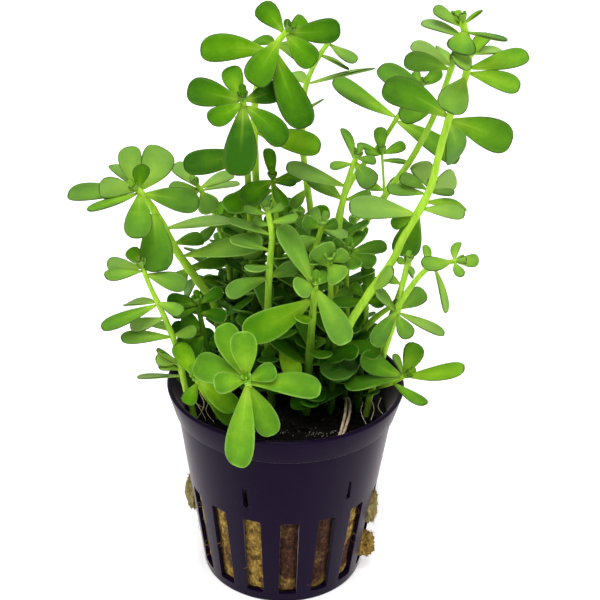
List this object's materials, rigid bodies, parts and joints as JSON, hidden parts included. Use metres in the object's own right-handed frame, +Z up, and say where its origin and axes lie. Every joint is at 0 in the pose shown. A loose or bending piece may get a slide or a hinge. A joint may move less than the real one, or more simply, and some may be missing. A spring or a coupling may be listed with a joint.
{
  "type": "potted water hyssop",
  "caption": "Small-leaved aquarium plant rooted in a fibrous plug that fills a slotted net pot.",
  "frame": {"origin": "middle of the pot's underside", "axes": "+Z up through the pot and the plant, +X to the right as seen from the front, -Y towards the viewer"},
  "size_m": [0.0946, 0.0791, 0.1395],
  "materials": {
    "pot_plastic": "smooth moulded, very dark purple",
    "rockwool": "wet matted mineral fibre, yellow-brown, dark on top",
    "dead_root": "dry and withered, pale brown",
    "foliage": "smooth and slightly waxy, bright green"
  },
  "bodies": {
    "root": {"net_pot": "pot_plastic", "rockwool_plug": "rockwool", "dead_root": "dead_root", "crown_shoot": "foliage", "high_rosette_shoot": "foliage", "tall_back_shoot": "foliage", "middle_shoot": "foliage", "far_rosette_shoot": "foliage", "right_shoot": "foliage", "right_back_shoot": "foliage", "right_young_shoot": "foliage", "right_rosette_shoot": "foliage", "right_low_shoot": "foliage", "rim_right_shoot": "foliage", "centre_shoot": "foliage", "broad_leaf_shoot": "foliage", "round_leaf_shoot": "foliage", "upper_middle_shoot": "foliage", "cross_shoot": "foliage", "right_middle_shoot": "foliage", "front_rosette_shoot": "foliage", "left_shoot": "foliage", "left_low_shoot": "foliage", "left_upper_shoot": "foliage", "left_middle_shoot": "foliage", "left_under_shoot": "foliage", "rim_left_shoot": "foliage", "bundle_shoot": "foliage", "inner_right_shoot": "foliage", "back_left_shoot": "foliage", "back_middle_shoot": "foliage", "back_right_shoot": "foliage", "back_low_shoot": "foliage"}
  },
  "joints": []
}
